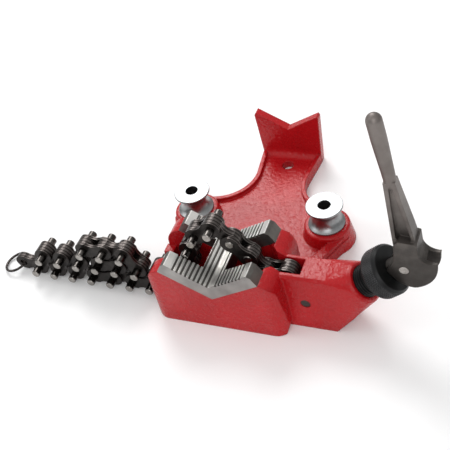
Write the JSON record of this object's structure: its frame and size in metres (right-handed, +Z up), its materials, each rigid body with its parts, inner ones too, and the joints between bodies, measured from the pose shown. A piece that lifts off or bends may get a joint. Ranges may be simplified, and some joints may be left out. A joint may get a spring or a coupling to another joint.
{
  "type": "chain pipe vise",
  "caption": "Bench chain pipe vise: red cast base with toothed V jaw and rear pipe rest, leaf chain, screw sleeve, draw rod and cam lever, spool rollers at the bolts.",
  "frame": {"origin": "underside of the base, below the bottom of the jaw's V, in the middle plane of the chain", "axes": "+X to the screw sleeve and lever, +Y along the pipe to the rear rest, +Z up"},
  "size_m": [0.3342, 0.1775, 0.1745],
  "materials": {
    "casting_paint": "semi-gloss enamel over rough cast iron",
    "jaw_steel": "machined steel, satin",
    "screw_steel": "dark steel",
    "roller_plate": "bright zinc plate, satin",
    "sleeve_black": "black oxide, oiled",
    "lever_iron": "forged, bare and oiled",
    "chain_plate": "blued steel, oiled",
    "chain_pin": "ground steel, bright ends"
  },
  "bodies": {
    "frame": {"casting": "casting_paint", "jaw": "jaw_steel", "jaw_screws": "screw_steel", "guide_pin": "screw_steel"},
    "roller_left": {"roller_left": "roller_plate"},
    "roller_right": {"roller_right": "roller_plate"},
    "sleeve": {"sleeve": "sleeve_black"},
    "rod": {"draw_rod": "screw_steel", "lever_pin": "chain_pin"},
    "lever": {"lever": "lever_iron"},
    "link_1": {"outer_1": "chain_plate", "pins_1": "chain_pin"},
    "link_2": {"inner_2": "chain_plate"},
    "link_3": {"outer_3": "chain_plate", "pins_3": "chain_pin"},
    "link_4": {"inner_4": "chain_plate"},
    "link_5": {"outer_5": "chain_plate", "pins_5": "chain_pin"},
    "link_6": {"inner_6": "chain_plate"},
    "link_7": {"outer_7": "chain_plate", "pins_7": "chain_pin"},
    "link_8": {"inner_8": "chain_plate"},
    "link_9": {"outer_9": "chain_plate", "pins_9": "chain_pin"},
    "link_10": {"inner_10": "chain_plate"},
    "link_11": {"outer_11": "chain_plate", "pins_11": "chain_pin"},
    "link_12": {"inner_12": "chain_plate"},
    "link_13": {"outer_13": "chain_plate", "pins_13": "chain_pin"},
    "link_14": {"inner_14": "chain_plate"},
    "link_15": {"outer_15": "chain_plate", "pins_15": "chain_pin"},
    "link_16": {"inner_16": "chain_plate"},
    "link_17": {"outer_17": "chain_plate", "pins_17": "chain_pin"},
    "link_18": {"inner_18": "chain_plate"},
    "link_19": {"outer_19": "chain_plate", "pins_19": "chain_pin"},
    "link_20": {"inner_20": "chain_plate"},
    "link_21": {"outer_21": "chain_plate", "pins_21": "chain_pin"},
    "link_22": {"inner_22": "chain_plate"},
    "link_23": {"outer_23": "chain_plate", "pins_23": "chain_pin"},
    "link_24": {"inner_24": "chain_plate"},
    "link_25": {"outer_25": "chain_plate", "pins_25": "chain_pin"},
    "link_26": {"inner_26": "chain_plate"},
    "link_27": {"outer_27": "chain_plate", "pins_27": "chain_pin"},
    "link_28": {"inner_28": "chain_plate"},
    "link_29": {"outer_29": "chain_plate", "pins_29": "chain_pin"},
    "link_30": {"inner_30": "chain_plate"},
    "ring": {"end_ring": "chain_plate"}
  },
  "joints": [
    {"name": "roller_left_spin", "type": "hinge", "parent": "frame", "child": "roller_left", "pos_m": [-0.051, 0.0675, 0.0245], "axis": [0, 0, 1], "continuous": true},
    {"name": "roller_right_spin", "type": "hinge", "parent": "frame", "child": "roller_right", "pos_m": [0.051, 0.0675, 0.0245], "axis": [0, 0, 1], "continuous": true},
    {"name": "sleeve_turn", "type": "hinge", "parent": "frame", "child": "sleeve", "pos_m": [0.0977, 0, 0.0392], "axis": [0.749, 0, 0.6626], "continuous": true},
    {"name": "draw_slide", "type": "slide", "parent": "frame", "child": "rod", "axis": [0.749, 0, 0.6626], "range_m": [0, 0.0062]},
    {"name": "lever_turn", "type": "hinge", "parent": "rod", "child": "lever", "pos_m": [0.12466, 0, 0.06305], "axis": [0, 1, 0], "range_deg": [0, 100]},
    {"name": "chain_1", "type": "hinge", "parent": "rod", "child": "link_1", "pos_m": [0.07965, 0, 0.02323], "axis": [0, -1, 0], "range_deg": [-2.48, 0.5]},
    {"name": "chain_2", "type": "hinge", "parent": "link_1", "child": "link_2", "pos_m": [0.06796, 0, 0.01248], "axis": [0, -1, 0], "range_deg": [-0.5, 12.69]},
    {"name": "chain_3", "type": "hinge", "parent": "link_2", "child": "link_3", "pos_m": [0.05253, 0, 0.00878], "axis": [0, -1, 0], "range_deg": [-0.5, 2.57]},
    {"name": "chain_4", "type": "hinge", "parent": "link_3", "child": "link_4", "pos_m": [0.04454, 0, 0.0225], "axis": [0, -1, 0], "range_deg": [-4.46, 0.5]},
    {"name": "chain_5", "type": "hinge", "parent": "link_4", "child": "link_5", "pos_m": [0.04686, 0, 0.03821], "axis": [0, -1, 0], "range_deg": [-8.83, 0.5]},
    {"name": "chain_6", "type": "hinge", "parent": "link_5", "child": "link_6", "pos_m": [0.03102, 0, 0.03712], "axis": [0, -1, 0], "range_deg": [-60, 0]},
    {"name": "chain_7", "type": "hinge", "parent": "link_6", "child": "link_7", "pos_m": [0.02201, 0, 0.05019], "axis": [0, -1, 0], "range_deg": [-5, 0]},
    {"name": "chain_8", "type": "hinge", "parent": "link_7", "child": "link_8", "pos_m": [0.01131, 0, 0.06191], "axis": [0, -1, 0], "range_deg": [-3, 0]},
    {"name": "chain_9", "type": "hinge", "parent": "link_8", "child": "link_9", "pos_m": [0.0005, 0, 0.07354], "axis": [0, -1, 0], "range_deg": [-2.5, 0]},
    {"name": "chain_10", "type": "hinge", "parent": "link_9", "child": "link_10", "pos_m": [-0.01286, 0, 0.06497], "axis": [0, -1, 0], "range_deg": [-3, 0]},
    {"name": "chain_11", "type": "hinge", "parent": "link_10", "child": "link_11", "pos_m": [-0.02065, 0, 0.05114], "axis": [0, -1, 0], "range_deg": [-5, 0]},
    {"name": "chain_12", "type": "hinge", "parent": "link_11", "child": "link_12", "pos_m": [-0.02431, 0, 0.03569], "axis": [0, -1, 0], "range_deg": [-10, 0]},
    {"name": "chain_13", "type": "hinge", "parent": "link_12", "child": "link_13", "pos_m": [-0.03571, 0, 0.02464], "axis": [0, -1, 0], "range_deg": [-10, 0]},
    {"name": "chain_14", "type": "hinge", "parent": "link_13", "child": "link_14", "pos_m": [-0.05125, 0, 0.02142], "axis": [0, -1, 0], "range_deg": [-30, 0]},
    {"name": "chain_15", "type": "hinge", "parent": "link_14", "child": "link_15", "pos_m": [-0.05919, 0, 0.00767], "axis": [0, -1, 0], "range_deg": [-3, 12]},
    {"name": "chain_16", "type": "hinge", "parent": "link_15", "child": "link_16", "pos_m": [-0.07506, 0, 0.00767], "axis": [0, -1, 0], "range_deg": [0, 12]},
    {"name": "chain_17", "type": "hinge", "parent": "link_16", "child": "link_17", "pos_m": [-0.09094, 0, 0.00767], "axis": [0, -1, 0], "range_deg": [0, 12]},
    {"name": "chain_18", "type": "hinge", "parent": "link_17", "child": "link_18", "pos_m": [-0.10681, 0, 0.00767], "axis": [0, -1, 0], "range_deg": [0, 12]},
    {"name": "chain_19", "type": "hinge", "parent": "link_18", "child": "link_19", "pos_m": [-0.09888, 0, 0.02142], "axis": [0, -1, 0], "range_deg": [0, 1]},
    {"name": "chain_20", "type": "hinge", "parent": "link_19", "child": "link_20", "pos_m": [-0.083, 0, 0.02142], "axis": [0, -1, 0], "range_deg": [0, 1]},
    {"name": "chain_21", "type": "hinge", "parent": "link_20", "child": "link_21", "pos_m": [-0.06713, 0, 0.02142], "axis": [0, -1, 0], "range_deg": [-15, 0]},
    {"name": "chain_22", "type": "hinge", "parent": "link_21", "child": "link_22", "pos_m": [-0.07506, 0, 0.03517], "axis": [0, -1, 0], "range_deg": [-15, 0]},
    {"name": "chain_23", "type": "hinge", "parent": "link_22", "child": "link_23", "pos_m": [-0.09094, 0, 0.03517], "axis": [0, -1, 0], "range_deg": [-15, 0]},
    {"name": "chain_24", "type": "hinge", "parent": "link_23", "child": "link_24", "pos_m": [-0.10681, 0, 0.03517], "axis": [0, -1, 0], "range_deg": [-15, 0]},
    {"name": "chain_25", "type": "hinge", "parent": "link_24", "child": "link_25", "pos_m": [-0.11475, 0, 0.02142], "axis": [0, -1, 0], "range_deg": [-45, 0]},
    {"name": "chain_26", "type": "hinge", "parent": "link_25", "child": "link_26", "pos_m": [-0.12269, 0, 0.00767], "axis": [0, -1, 0], "range_deg": [0, 12]},
    {"name": "chain_27", "type": "hinge", "parent": "link_26", "child": "link_27", "pos_m": [-0.13063, 0, 0.02142], "axis": [0, -1, 0], "range_deg": [-45, 0]},
    {"name": "chain_28", "type": "hinge", "parent": "link_27", "child": "link_28", "pos_m": [-0.13856, 0, 0.00767], "axis": [0, -1, 0], "range_deg": [0, 12]},
    {"name": "chain_29", "type": "hinge", "parent": "link_28", "child": "link_29", "pos_m": [-0.1465, 0, 0.02142], "axis": [0, -1, 0], "range_deg": [-45, 0]},
    {"name": "chain_30", "type": "hinge", "parent": "link_29", "child": "link_30", "pos_m": [-0.15444, 0, 0.00767], "axis": [0, -1, 0], "range_deg": [-45, 0]},
    {"name": "ring_swing", "type": "hinge", "parent": "link_30", "child": "ring", "pos_m": [-0.17031, 0, 0.00767], "axis": [0, -1, 0], "range_deg": [-60, 0]}
  ],
  "couplings": [
    {"joint": "draw_slide", "follows": "lever_turn", "m_per_rad": 0.0035},
    {"joint": "chain_1", "follows": "lever_turn", "ratio": -0.01979},
    {"joint": "chain_2", "follows": "lever_turn", "ratio": 0.12191},
    {"joint": "chain_3", "follows": "lever_turn", "ratio": 0.02072},
    {"joint": "chain_4", "follows": "lever_turn", "ratio": -0.03959},
    {"joint": "chain_5", "follows": "lever_turn", "ratio": -0.08326}
  ]
}
